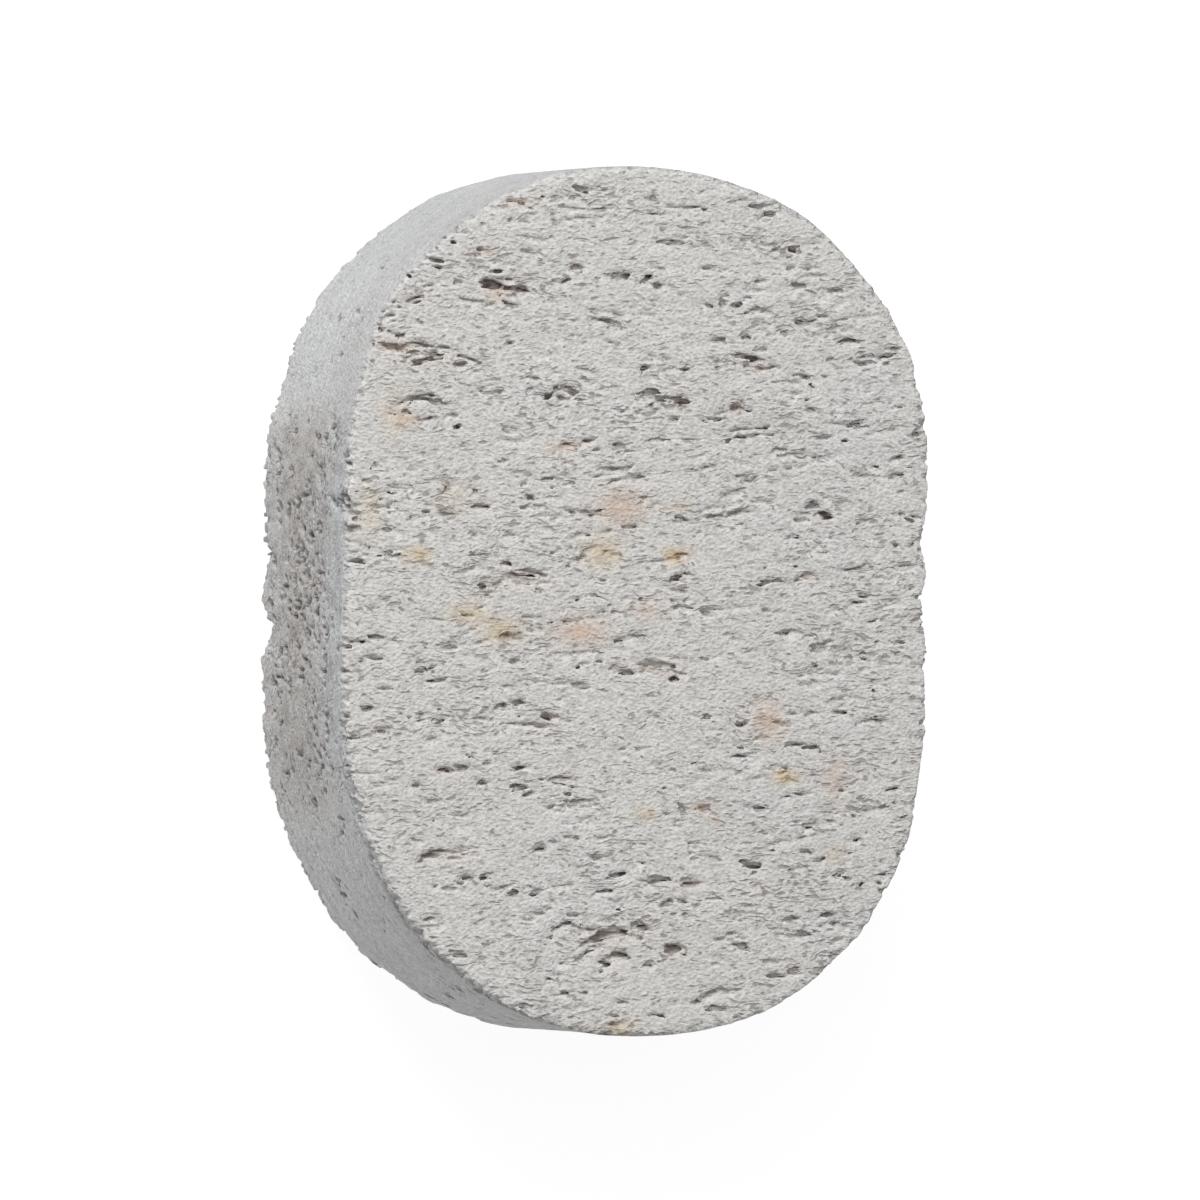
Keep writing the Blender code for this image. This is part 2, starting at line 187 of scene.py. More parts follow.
# Pores of the front face: x, y, length along x and height along y, and the tilt of the pore's
# long axis.
FRONT_PORES = (
    # upper left
    (-26.3, 26.0, 3.8, 0.9, 0), (-23.0, 24.8, 4.3, 0.8, 14), (-15.9, 32.3, 2.6, 1.2, -22),
    (-13.9, 31.9, 3.4, 0.7, -2), (-19.6, 24.2, 1.2, 0.5, 5), (-24.7, 30.8, 1.9, 0.7, 12),
    (-15.5, 33.8, 1.3, 0.4, 0), (-6.8, 34.1, 1.4, 0.9, -10), (-6.4, 42.4, 1.4, 0.5, 0),
    (-2.0, 33.3, 1.7, 0.5, 6), (-4.0, 28.8, 2.6, 0.4, -12), (-13.2, 41.0, 3.2, 0.4, -5),
    (-16.9, 35.9, 1.5, 0.5, -8), (-26.4, 27.1, 1.6, 0.5, -15), (-14.3, 30.4, 1.6, 0.4, -14),
    # upper right
    (0.8, 33.2, 1.1, 0.6, 15), (1.9, 32.5, 0.9, 0.5, -25), (7.2, 34.3, 1.0, 0.5, 0),
    (9.5, 34.2, 1.3, 0.4, 8), (9.0, 30.8, 0.7, 0.7, 35), (11.3, 30.9, 1.5, 0.6, 30),
    (13.3, 29.9, 2.6, 0.5, -10), (11.8, 27.1, 1.3, 0.5, 5), (8.8, 26.9, 1.4, 0.5, 8),
    (11.6, 25.1, 2.9, 0.6, -4), (13.1, 24.0, 2.4, 0.7, -18), (0.6, 23.9, 1.0, 0.5, 35),
    (8.6, 24.0, 0.7, 0.4, 0), (23.4, 26.7, 2.0, 0.6, -6), (27.2, 25.3, 1.7, 0.5, 12),
    (24.9, 24.5, 1.8, 0.4, 3), (17.1, 36.3, 1.5, 0.5, 0), (15.0, 36.3, 1.0, 0.5, 10),
    (17.5, 32.4, 2.1, 0.6, -20), (14.2, 39.9, 2.2, 0.5, 14), (1.5, 41.3, 1.3, 0.5, 0),
    (2.4, 39.8, 1.5, 0.4, -8), (3.7, 36.9, 3.2, 0.4, 3), (18.3, 28.6, 1.5, 0.4, 0),
    (18.3, 22.6, 1.7, 0.5, -15),
    # middle left
    (-25.6, 19.4, 1.0, 0.4, 10),
    (-20.8, 18.8, 1.7, 0.4, 18), (-23.0, 18.5, 1.6, 0.4, 14), (-19.8, 17.8, 0.8, 0.5, 0),
    (-8.2, 15.9, 1.2, 0.5, 10),
    (-5.8, 16.3, 1.1, 0.5, -10), (-2.2, 15.8, 1.1, 0.6, 0), (-1.5, 12.8, 2.6, 0.5, -4),
    (-2.9, 13.5, 1.1, 0.4, -8), (-31.1, 3.8, 1.7, 0.5, 4), (-17.1, 1.3, 1.1, 0.8, 5),
    (-10.5, 1.7, 1.8, 0.5, 5), (-3.1, 4.6, 1.3, 0.4, -15),
    (-1.1, 7.4, 1.4, 0.6, -8), (-17.6, 9.6, 2.0, 0.5, -4), (-21.2, 11.3, 0.8, 0.4, 20),
    (-14.3, 3.6, 1.2, 0.4, 0), (-11.8, 10.3, 1.0, 0.4, -15),
    # middle right
    (4.8, 20.5, 2.2, 1.1, -6), (1.9, 20.1, 1.8, 0.4, 12), (10.8, 19.8, 1.6, 1.2, 0),
    (8.7, 19.1, 1.8, 0.5, 32), (3.6, 18.7, 1.6, 0.5, 4), (7.4, 18.2, 0.9, 0.4, 0),
    (19.2, 19.5, 1.1, 0.7, 0), (23.9, 18.3, 1.6, 0.5, 14), (15.3, 15.4, 1.9, 0.6, 6),
    (20.5, 8.7, 1.6, 0.8, 4), (11.6, 12.4, 0.9, 0.5, 0), (16.5, 13.7, 1.7, 0.4, 3),
    (24.9, 12.9, 1.9, 0.4, -6), (14.6, 1.9, 2.6, 0.6, 0),
    (23.5, 3.1, 2.4, 0.4, 6), (4.1, 2.1, 1.2, 0.7, 10), (4.2, 4.3, 1.0, 0.5, 0),
    (24.9, 0.4, 1.2, 0.5, -4), (11.2, 9.0, 2.2, 0.5, 4), (18.8, 9.6, 1.5, 0.4, 5),
    (28.4, 14.7, 1.4, 0.4, -6), (28.6, 12.9, 1.7, 0.4, 3),
    # lower left
    (-13.2, -10.7, 1.9, 0.6, 12), (-15.2, -11.1, 1.8, 0.5, 6), (-9.9, -12.2, 1.2, 0.9, 0),
    (-11.7, -13.0, 1.5, 0.4, 3), (-16.7, -16.9, 1.2, 0.6, 0), (-19.5, -17.4, 1.2, 0.6, 0),
    (-21.2, -17.7, 1.7, 0.7, 8), (-12.8, -17.5, 1.8, 0.5, 0), (-8.2, -18.8, 2.3, 1.0, 2),
    (-17.1, -19.0, 1.1, 0.4, 0), (-13.2, -19.4, 2.5, 0.6, -3), (-11.9, -20.1, 1.7, 0.5, 12),
    (-6.0, -20.8, 1.3, 0.5, -14), (-1.8, -7.4, 1.8, 0.8, -5), (-6.8, -8.8, 1.9, 0.5, -8),
    (-1.5, -4.1, 2.0, 0.4, 5), (-13.7, -6.4, 1.1, 0.4, -4), (-23.7, -7.3, 2.0, 0.5, 5),
    (-22.2, -8.4, 1.9, 0.4, 14), (-29.2, -4.1, 2.6, 0.4, 4), (-29.7, -11.2, 1.2, 0.5, 0),
    (-28.1, -13.5, 1.4, 0.7, -15), (-22.7, -14.4, 1.3, 0.5, 5), (-24.4, -19.2, 0.9, 0.4, 0),
    (-19.8, -26.6, 1.8, 0.8, 5), (-22.2, -26.3, 2.8, 0.9, -6), (-18.8, -28.7, 1.3, 0.6, 0),
    (-17.1, -28.6, 1.5, 0.6, 26), (-13.9, -30.2, 1.8, 0.7, 10), (-11.4, -30.4, 1.5, 0.5, 14),
    (-23.1, -33.0, 1.4, 0.5, 2), (-10.9, -25.8, 1.4, 0.4, 10), (-4.5, -26.6, 1.9, 0.4, 5),
    (-2.4, -28.6, 2.0, 0.5, -2), (-8.1, -33.7, 2.9, 0.5, 4), (-6.8, -34.3, 1.4, 0.4, 15),
    (-3.6, -34.9, 5.4, 1.1, 14), (0.1, -33.9, 2.0, 0.8, -24), (-4.8, -35.9, 1.6, 0.4, 6),
    (-2.6, -37.0, 3.1, 0.9, 23), (-19.6, -36.6, 1.1, 0.4, 0), (-3.6, -30.3, 2.6, 0.4, -6),
    # lower right
    (3.9, -8.3, 1.2, 0.7, 10), (7.2, -1.3, 1.4, 0.5, -16),
    (19.8, -5.0, 2.0, 0.6, 15), (24.8, -6.2, 1.1, 0.5, -5),
    (24.0, -0.4, 1.7, 0.4, 6), (22.0, -11.8, 1.8, 0.5, -12), (19.1, -11.8, 1.6, 0.4, 6),
    (26.2, -12.6, 3.1, 0.6, -3), (17.6, -15.2, 1.8, 0.6, -18), (19.4, -15.6, 1.4, 0.6, -5),
    (18.0, -20.2, 1.8, 0.4, 0), (16.2, -20.6, 1.1, 0.4, -8), (28.1, -19.7, 1.5, 0.4, 10),
    (4.7, -21.8, 1.3, 0.5, -58), (6.9, -21.7, 1.6, 0.6, -18), (13.2, -21.7, 2.1, 0.4, -8),
    (6.6, -18.6, 1.3, 0.4, 2), (11.2, -13.1, 1.0, 0.4, -12), (4.2, -36.3, 2.1, 1.0, -5),
    (1.0, -37.9, 2.0, 0.5, 3), (17.0, -38.6, 1.2, 1.1, 0), (11.0, -35.8, 1.6, 0.5, 0),
    (5.4, -29.4, 2.1, 0.7, 2), (2.4, -29.1, 3.4, 0.5, 4), (12.3, -27.6, 2.0, 0.5, -14),
    (14.6, -25.7, 0.9, 0.5, 0), (18.9, -23.5, 1.5, 0.6, 12), (20.9, -23.2, 1.4, 0.5, 10),
    (23.9, -25.0, 1.6, 0.6, 20), (18.3, -26.2, 1.6, 0.4, -18), (20.5, -32.8, 1.2, 0.4, -8),
    (21.4, -33.8, 2.2, 0.4, -8), (18.0, -34.8, 1.6, 0.4, 0), (16.3, -33.3, 1.5, 0.4, 12),
    (2.0, -43.1, 1.9, 0.5, -12), (8.8, -42.4, 2.2, 0.4, -5), (8.2, -41.0, 3.4, 0.6, 12),
)

# Thin slits, given in the same way.
THIN_SLITS = (
    (6.2, 40.4, 3.0, 0.3, -8), (13.2, 40.8, 3.0, 0.3, 0), (6.9, 42.2, 1.6, 0.3, 0),
    (13.3, 33.0, 1.2, 0.3, 0), (13.7, 10.0, 2.0, 0.25, 0), (18.1, 8.2, 1.4, 0.25, 0),
    (-28.9, -6.1, 1.6, 0.25, 0), (-13.7, -3.8, 2.2, 0.25, 0), (22.6, -5.4, 2.0, 0.25, 0),
    (7.5, -12.3, 1.4, 0.25, 0), (11.2, -16.3, 3.0, 0.25, 0), (15.5, -9.5, 1.2, 0.3, 0),
    (22.5, -19.9, 1.0, 0.3, 0), (-23.1, -33.8, 2.2, 0.3, 0), (-8.8, -29.6, 1.6, 0.3, 0),
    (22.1, -28.9, 2.0, 0.25, 0), (26.6, -28.9, 1.6, 0.3, 15), (15.1, -39.2, 1.6, 0.3, 0),
    (14.2, -37.7, 1.6, 0.3, 0), (21.9, -35.5, 1.6, 0.5, 0), (-22.9, 26.0, 3.6, 0.3, -4),
    (-21.9, 25.4, 3.0, 0.3, 8), (-24.6, 25.2, 2.2, 0.3, -20), (-19.0, 24.9, 2.8, 0.3, -12),
    (1.4, 21.5, 2.8, 0.3, -6), (0.9, 20.7, 2.6, 0.3, 2), (2.9, 19.8, 2.6, 0.3, 14),
    (8.6, 18.7, 3.6, 0.3, 4), (12.4, 17.5, 5.0, 0.3, -3), (13.6, 17.0, 4.2, 0.3, 2),
    (11.4, 16.9, 3.4, 0.3, 6), (17.4, 15.0, 3.4, 0.3, -8), (-3.4, 12.9, 3.2, 0.3, 4),
    (-14.6, 32.9, 3.2, 0.3, -10), (-12.4, 31.4, 3.0, 0.3, 4), (-5.6, -34.2, 3.4, 0.3, 20),
    (-5.4, -35.6, 3.0, 0.3, 10), (-20.4, -26.0, 3.2, 0.3, 2), (-11.4, 2.6, 3.4, 0.3, -8),
)

# Large bent pores: the same, then how strongly both ends droop, and the depth.
BENT_PORES = (
    (-23.8, 20.5, 4.8, 0.6, 0, 0.35, 0.8), (-8.5, 21.5, 3.0, 0.6, 0, 0.45, 0.9),
    (2.2, 20.9, 5.2, 0.6, -4, 0.05, 0.8), (-13.5, 1.9, 5.0, 1.3, 2, 0.25, 0.8),
    (18.5, 2.3, 2.4, 0.8, 2, 0.45, 0.6), (2.1, -7.0, 3.6, 1.2, -8, 0.15, 0.7),
    (8.2, -41.0, 3.4, 0.6, 8, 0.30, 0.5), (16.8, -3.5, 3.0, 0.5, 0, 0.05, 0.8),
)

# Crumbled pits of the front rim: x, y, length, height and tilt.
RIM_PITS = (
    (-21.7, 37.4, 1.0, 0.8, 20), (-20.4, 37.1, 1.0, 0.6, 0), (-22.8, 36.8, 0.8, 0.9, 40),
    (-23.8, 35.0, 0.9, 0.9, 60), (-21.9, 34.8, 1.5, 0.7, -10), (-25.0, 33.6, 0.8, 0.7, 30),
    (-28.4, 28.0, 0.6, 1.2, -20), (-27.6, 29.4, 1.1, 0.7, 30), (-26.7, 30.4, 0.9, 0.7, 0),
    (-29.7, 26.2, 0.8, 0.9, 0), (-30.4, 24.5, 0.8, 0.8, 0), (-31.2, 22.0, 0.8, 0.5, 10),
    (-31.7, 9.3, 1.5, 1.2, 10), (-31.4, 7.4, 1.8, 0.7, 0), (-31.0, -4.4, 1.6, 0.8, 0),
    (-32.4, -12.2, 1.5, 0.8, -40), (-31.8, -16.3, 1.6, 0.9, -10), (-32.0, 14.0, 0.8, 0.5, 0),
    (-32.2, 1.5, 0.9, 0.6, 0), (-32.2, -7.5, 1.0, 0.5, 0), (-31.2, -20.5, 1.0, 0.6, -20),
    (-31.2, 8.9, 1.5, 1.1, 0), (-31.9, 9.8, 1.1, 1.0, 0), (-31.3, 7.2, 1.8, 0.6, 0),
    (30.6, 17.6, 1.0, 0.8, 0), (30.0, 8.4, 2.0, 0.7, -25), (30.9, -2.0, 1.2, 0.5, 0),
)

# Pits of the left wall: y, z, length along y, height along z.
WALL_PITS = (
    (14.6, 14.9, 0.9, 1.0), (11.2, 4.6, 1.1, 0.6), (11.1, 13.9, 0.8, 0.7), (9.5, 5.5, 1.0, 1.0),
    (8.5, 7.8, 0.5, 0.6), (9.9, 23.4, 0.9, 1.6), (9.4, 25.0, 1.0, 1.2), (10.2, 22.0, 0.5, 0.8),
    (5.6, 9.2, 0.6, 0.6), (4.9, 10.6, 0.8, 0.7), (4.1, 11.2, 0.9, 0.6), (5.4, 12.6, 0.7, 0.6),
    (1.7, 10.6, 1.0, 0.9), (1.0, 3.6, 0.9, 0.6), (-1.1, 8.6, 0.5, 0.5), (-1.0, 15.2, 0.5, 0.5),
    (-4.6, 9.6, 1.1, 0.6), (-5.0, 11.4, 0.9, 0.6), (-6.6, 11.0, 1.4, 0.6), (-7.9, 13.2, 0.7, 0.8),
    (-8.1, 4.0, 1.1, 0.6), (-9.0, 15.4, 0.7, 0.5), (-9.4, 9.4, 0.6, 0.6), (-12.4, 7.0, 0.7, 0.6),
    (-13.0, 16.8, 0.6, 0.5), (-14.4, 5.0, 0.8, 0.6), (19.2, 6.0, 0.7, 0.5), (17.4, 9.0, 0.6, 0.5),
    (9.0, 23.9, 1.1, 1.4), (10.3, 24.8, 0.9, 1.4), (9.6, 25.6, 1.5, 0.9), (9.9, 22.2, 0.7, 0.9),
    # notches at the back rim
    (5.0, 0.2, 1.3, 2.6), (-3.0, 0.2, 1.9, 2.8), (-11.3, 0.2, 1.3, 2.4), (-16.2, 0.2, 0.8, 1.8),
)

# Stains on the front face: x, y, reach along x and y, and strength.
OCHRE_STAINS = (
    (-24.4, 4.6, 1.4, 0.8, 0.8), (-18.9, -1.4, 2.2, 1.1, 0.5), (-15.3, -3.2, 2.2, 1.2, 0.6),
    (4.1, 9.6, 1.6, 0.5, 0.5), (3.9, 4.6, 1.1, 0.9, 0.9), (16.0, -18.4, 1.4, 0.8, 0.8),
    (-4.0, 4.8, 2.0, 1.5, 0.6), (0.8, -22.2, 1.2, 0.6, 0.6), (-26.9, 19.0, 1.4, 2.6, 0.3),
    (-29.4, 9.0, 1.4, 3.0, 0.3), (21.6, -26.4, 1.2, 0.8, 0.4), (-20.4, 10.5, 3.0, 2.0, 0.2),
    (-2.2, -44.4, 1.5, 0.8, 0.5),
)
RUST_STAINS = (
    (-6.5, -3.3, 2.8, 1.3, 0.65), (-2.0, 9.4, 2.6, 1.9, 0.6), (0.8, -1.2, 1.6, 1.0, 0.4),
    (14.2, -12.6, 1.5, 2.0, 0.6), (21.6, -18.6, 1.2, 2.0, 0.4), (6.7, -21.5, 1.2, 0.5, 0.6),
    (8.2, -23.0, 0.9, 0.4, 0.5), (-16.8, 35.9, 1.1, 0.4, 0.4), (-13.2, 41.0, 1.8, 0.4, 0.35),
    (-26.0, 18.6, 0.8, 0.5, 0.6), (-26.7, 26.0, 1.6, 0.5, 0.35), (-15.8, 31.2, 1.6, 0.7, 0.3),
    (-8.3, 15.8, 1.6, 0.6, 0.5), (-24.9, 18.3, 1.0, 0.5, 0.5), (4.2, 4.5, 1.4, 0.6, 0.4),
)


def smoothstep(low, high, value):
    """0 below low, 1 above high and a smooth rise between them."""
    t = np.clip((value - low) / (high - low), 0, 1)
    return t * t * (3 - 2 * t)


# ---- outline

def oval_radius(angle):
    """Distance from the centre to the plain oval, for each angle in radians."""
    across, along = np.abs(np.cos(angle)), np.abs(np.sin(angle))
    inside, outside = np.zeros_like(angle), np.full_like(angle, OVAL_LENGTH)
    for _ in range(40):
        middle = (inside + outside) / 2
        x = middle * across / (OVAL_WIDTH / 2)
        y = np.maximum(middle * along - STRAIGHT_HALF, 0) / (OVAL_LENGTH / 2 - STRAIGHT_HALF)
        is_inside = x ** END_POWER + y ** END_POWER < 1
        inside = np.where(is_inside, middle, inside)
        outside = np.where(is_inside, outside, middle)
    return inside


def torn_walls(degrees):
    """1 where the wall cuts the fibres across and is torn, 0 where it is rubbed smooth."""
    left = smoothstep(*LEFT_TEAR_START, degrees) * (1 - smoothstep(*LEFT_TEAR_END, degrees))
    right = 1 - smoothstep(*RIGHT_TEAR_END, np.minimum(degrees, 360 - degrees))
    return np.maximum(left, right)


def crisp_rims(angle):
    """1 where the front rim is hardly worn, on the right and at the bottom, and 0 elsewhere."""
    return smoothstep(-0.1, 0.6, np.cos(angle - math.radians(CRISP_SIDE)))


def wall_terms(angle, swells):
    """Terms of the wall's radius at each angle: at the back rim, its rise to the front rim,
    its sag half way up and the scallops that chips have left at the back rim."""
    back = oval_radius(angle)
    front = back.copy()
    for centre, spread, at_front, at_back in swells:
        away = np.degrees(np.angle(np.exp(1j * (angle - math.radians(centre)))))
        bump = np.exp(-(away / spread) ** 2)
        front += at_front * bump
        back += at_back * bump
    scallop = sum(np.sin(waves * angle + 2.1 * number)
                  for number, waves in enumerate(SCALLOP_WAVES))
    worn = 0.3 + 0.7 * torn_walls(np.degrees(angle) % 360)
    return (back, front - back, WALL_SAG * np.sin(3 * angle + 1),
            2 * SCALLOP_HEIGHT / len(SCALLOP_WAVES) * scallop * worn)


ANGLES = np.linspace(-math.pi, math.pi, 2881)


def wall_radius(terms, height):
    """Radius of the wall at a height that is 0 at the back rim and 1 at the front rim."""
    back, rise, sag, scallop = terms
    return back + rise * height - sag * np.sin(math.pi * height) + scallop * (1 - height) ** 3


def outline_centre():
    """Middle of the worn outline's box, which the solid has moved to its origin."""
    terms = wall_terms(ANGLES, OUTLINE_SWELLS)
    radius = np.stack([wall_radius(terms, height) for height in np.linspace(0, 1, 5)])
    x, y = radius * np.cos(ANGLES), radius * np.sin(ANGLES)
    return (x.max() + x.min()) / 2, (y.max() + y.min()) / 2


CENTRE = outline_centre()
WALL = wall_terms(ANGLES, OUTLINE_SWELLS + FINE_SWELLS)


def on_wall(angle, z, inward=0.0):
    """x and y of a place on the wall, or so far inside it, at an angle in radians and at z."""
    around = (angle + math.pi) % (2 * math.pi) - math.pi
    terms = [float(np.interp(around, ANGLES, term)) for term in WALL]
    reach = wall_radius(terms, min(max(z / THICKNESS, 0), 1)) - inward
    return reach * math.cos(angle) - CENTRE[0], reach * math.sin(angle) - CENTRE[1]


# ---- samples and noise

class Block:
    """A block of sample points round the stone: arrays are [z, x, y]. Its hollows and its
    distance to the surface are negative in stone."""

    def __init__(self):
        below, aside, along = MARGINS
        self.step = np.array(VOXEL)
        self.z = np.arange(-below, THICKNESS + below, VOXEL[0])
        self.x = np.arange(-OVAL_WIDTH / 2 - aside, OVAL_WIDTH / 2 + aside, VOXEL[1])
        self.y = np.arange(-OVAL_LENGTH / 2 - along, OVAL_LENGTH / 2 + along, VOXEL[2])
        self.low = np.array([self.z[0], self.x[0], self.y[0]])
        self.shape = (len(self.z), len(self.x), len(self.y))
        self.hollow = np.full(self.shape, -3, np.float32)
        self.distance = np.empty(self.shape, np.float32)


def blend_taps(places, spacing):
    """First knot and three weights that a quadratic B-spline gives each place."""
    at = (places - places[0]) / spacing
    first = at.astype(int)
    part = (at - first).astype(np.float32)
    return first, ((1 - part) ** 2 / 2, 0.5 + part - part ** 2, part ** 2 / 2)


class Noise:
    """Smooth random values of deviation 1, with a grain length along x, y and z."""

    def __init__(self, random, block, grain):
        self.x, self.x_weights = blend_taps(block.x, grain[0])
        self.y, self.y_weights = blend_taps(block.y, grain[1])
        self.z, self.z_weights = blend_taps(block.z, grain[2])
        knots = (self.z[-1] + 3, self.x[-1] + 3, self.y[-1] + 3)
        self.knots = random.normal(0, 2.45, knots).astype(np.float32)

    def layer(self, k):
        """The values at all samples of layer k."""
        flat = sum(weight[k] * self.knots[self.z[k] + tap]
                   for tap, weight in enumerate(self.z_weights))
        lines = sum(weight[:, None] * flat[self.x + tap]
                    for tap, weight in enumerate(self.x_weights))
        return sum(weight * lines[:, self.y + tap]
                   for tap, weight in enumerate(self.y_weights))


class Relief:
    """The torn, fibrous skin of the stone: how far it lies below the plain shape."""

    def __init__(self, random, block):
        self.step = block.step[2]
        self.last = len(block.y) - 1.001
        self.broad = Noise(random, block, (9.0, 3.2, 5.0))
        self.medium = Noise(random, block, (2.4, 0.62, 0.7))
        self.slits = Noise(random, block, (1.7, 0.34, 0.45))
        self.crumbs = Noise(random, block, (0.55, 0.42, 0.42))
        self.strands = Noise(random, block, (2.2, 0.26, 0.30))
        self.where = Noise(random, block, (5.0, 1.8, 3.0))
        self.ragged = Noise(random, block, (0.6, 0.27, 0.34))
        self.warp = Noise(random, block, (4.0, 2.2, 3.0))

    def at(self, k, i, j, rough, inside):
        """The relief at samples i, j of layer k, read along y in waves. It is as strong as
        rough says, and ledges stand up where a sample is inside a hollow."""
        place = np.clip(j + self.warp.layer(k)[i, j] * WARP / self.step, 0, self.last)
        first = place.astype(np.int32)
        part = (place - first).astype(np.float32)

        def bent(noise):
            values = noise.layer(k)
            near = values[i, first]
            return near + (values[i, first + 1] - near) * part

        where = self.where.layer(k)[i, j]
        skin = (0.05 + 0.02 * self.broad.layer(k)[i, j] + 0.022 * bent(self.medium)
                + 0.016 * self.crumbs.layer(k)[i, j]
                + 0.24 * smoothstep(1.7, 2.5, bent(self.slits) + 0.45 * where))
        ledges = 0.45 * smoothstep(0.4, 1.3, bent(self.strands)) * inside
        return np.maximum(skin, 0) * rough - ledges


# ---- hollows

def carve(block, centre, size, tilt, bend):
    """Take one hollow, a ball drawn out along x, tilted in radians and bent, out of the block."""
    half = np.maximum(np.array(size) / 2, 1e-3)
    reach = np.array([half[2], half[0], half[1] + (abs(math.sin(tilt)) + abs(bend)) * half[0]])
    reach = reach + 0.5
    spot = np.array([centre[2], centre[0], centre[1]])
    low = np.maximum(((spot - reach - block.low) / block.step).astype(int), 0)
    high = np.minimum(((spot + reach - block.low) / block.step).astype(int) + 2, block.shape)
    if (high <= low).any():
        return
    z = block.z[low[0]:high[0], None, None] - centre[2]
    x = block.x[None, low[1]:high[1], None] - centre[0]
    y = block.y[None, None, low[2]:high[2]] - centre[1]
    u = x * math.cos(tilt) + y * math.sin(tilt)
    v = y * math.cos(tilt) - x * math.sin(tilt)
    v = v + bend * (u * u / half[0] - half[0] * 0.33)
    near = np.sqrt((u / half[0]) ** 2 + (v / half[1]) ** 2 + (z / half[2]) ** 2) + 1e-6
    pull = np.sqrt((u / half[0] ** 2) ** 2 + (v / half[1] ** 2) ** 2 + (z / half[2] ** 2) ** 2)
    hollow = -near * (near - 1) / (pull + 1e-6)
    part = block.hollow[low[0]:high[0], low[1]:high[1], low[2]:high[2]]
    np.maximum(part, hollow, out=part)


def carve_pore(block, random, x, y, length, height, tilt, bend, depth):
    """A pore of the front face: a hollow with thin slits side by side between fibres."""
    x, y, tilt = x - CENTRE[0], y - CENTRE[1], math.radians(tilt)
    carve(block, (x, y, THICKNESS), (0.95 * length, 0.8 * height, 1.9 * depth), tilt, bend)
    count = max(2, round(height / SLIT_SPACING))
    fan = random.uniform(-0.3, 0.3)
    for number in range(count):
        across = 0.9 * ((number + 0.5) / count - 0.5)
        along = length * random.normal(0, 0.1)
        run = length * (1 - 1.2 * across ** 2) * random.uniform(0.9, 1.3)
        place = (x + along * math.cos(tilt) - across * height * math.sin(tilt),
                 y + along * math.sin(tilt) + across * height * math.cos(tilt), THICKNESS + 0.1)
        carve(block, place, (run, random.uniform(0.2, 0.32), 2 * depth * random.uniform(0.8, 1.3)),
              tilt + fan * across + random.normal(0, 0.07), bend + random.normal(0, 0.12))


def carve_chosen(block, random):
    """The pores, slits and rim pits placed where the photograph shows them."""
    for x, y, length, height, tilt in FRONT_PORES + THIN_SLITS:
        carve_pore(block, random, x, y, length, height, tilt, random.normal(0.15, 0.2),
                   0.35 + 0.65 * height)
    for x, y, length, height, tilt, bend, depth in BENT_PORES:
        carve_pore(block, random, x, y, length, height, tilt, bend, depth)
    for x, y, length, height, tilt in RIM_PITS:
        for _ in range(RIM_PIT_PARTS):
            part = random.uniform(0.4, 0.7)
            carve(block, (x - CENTRE[0] + random.normal(0, 0.25) * length,
                          y - CENTRE[1] + random.normal(0, 0.25) * height,
                          THICKNESS + random.normal(0, 0.15)),
                  (part * length, part * height, random.uniform(0.9, 1.8)), math.radians(tilt), 0)


def carve_rims(block, random):
    """Small chips all along both rims."""
    for _ in range(RIM_CHIPS):
        angle = random.uniform(-math.pi, math.pi)
        level = random.choice((0, THICKNESS))
        if random.uniform() < (0.75 * float(crisp_rims(angle)) if level else 0.5):
            continue
        x, y = on_wall(angle, level, random.uniform(0, 0.2))
        size = (FRONT_CHIP_SIZE if level else BACK_CHIP_SIZE) * 3 ** random.uniform(0, 1)
        carve(block, (x, y, level - 0.15 if level else random.uniform(0, 0.9)),
              (size * random.uniform(0.6, 1.4), size * random.uniform(0.6, 1.2),
               size * random.uniform(0.6, 1.2)), random.normal(0, 0.2), 0)


def carve_groove(block, random):
    """The cracked line in the lower left wall, close behind the front rim."""
    lean = np.arctan2(WALL[0], np.gradient(WALL[0], ANGLES))
    for _ in range(GROOVE_CHIPS):
        angle = math.radians(random.uniform(*GROOVE_ANGLES)) - 2 * math.pi
        z = THICKNESS - 0.5 - 1.8 * random.uniform(0, 1) ** 2
        carve(block, (*on_wall(angle, z), z),
              (random.uniform(0.8, 3), random.uniform(0.4, 0.9), random.uniform(0.3, 0.65)),
              angle + float(np.interp(angle, ANGLES, lean)), 0)


def carve_face(block, random, count, level):
    """Small slits strewn over a face, most of them near another one."""
    place = None
    for _ in range(count):
        if place is None or random.uniform() < 0.35:
            angle = random.uniform(-math.pi, math.pi)
            reach = math.sqrt(random.uniform(0, 1)) * float(np.interp(angle, ANGLES, WALL[0]))
            place = (reach * math.cos(angle), reach * math.sin(angle))
        else:
            place = (place[0] + random.normal(0, 1.5), place[1] + random.normal(0, 0.45))
        length = SLIT_LENGTH * 3.6 ** random.uniform(0, 1)
        height = SLIT_HEIGHT * 1.6 ** random.uniform(0, 1)
        depth = height * random.uniform(1.4, 3.0)
        carve(block, (place[0], place[1], level + random.normal(0, 0.06)),
              (length, height, depth), math.radians(random.normal(0, 12)),
              random.normal(0.15, 0.3))


def carve_pinholes(block, random):
    """Pinholes in streaks, most of them where the wall cuts the fibres across."""
    left = 0
    for _ in range(PINHOLES):
        if left == 0:
            left = random.integers(1, 9)
            spread = random.normal(0, 19) if random.uniform() < 0.9 else random.uniform(-90, 90)
            angle = math.radians(random.choice((0, 180)) + spread)
            z = random.uniform(3, 21) if random.uniform() < 0.8 else random.uniform(1, 25)
        left -= 1
        angle += random.normal(0, 0.022)
        z += random.normal(0, 0.5)
        size = PINHOLE_SIZE * 2.6 ** random.uniform(0, 1)
        carve(block, (*on_wall(angle, z), z),
              (size * random.uniform(2, 4), size * random.uniform(1, 1.6),
               size * random.uniform(1.2, 2.2)), 0, 0)


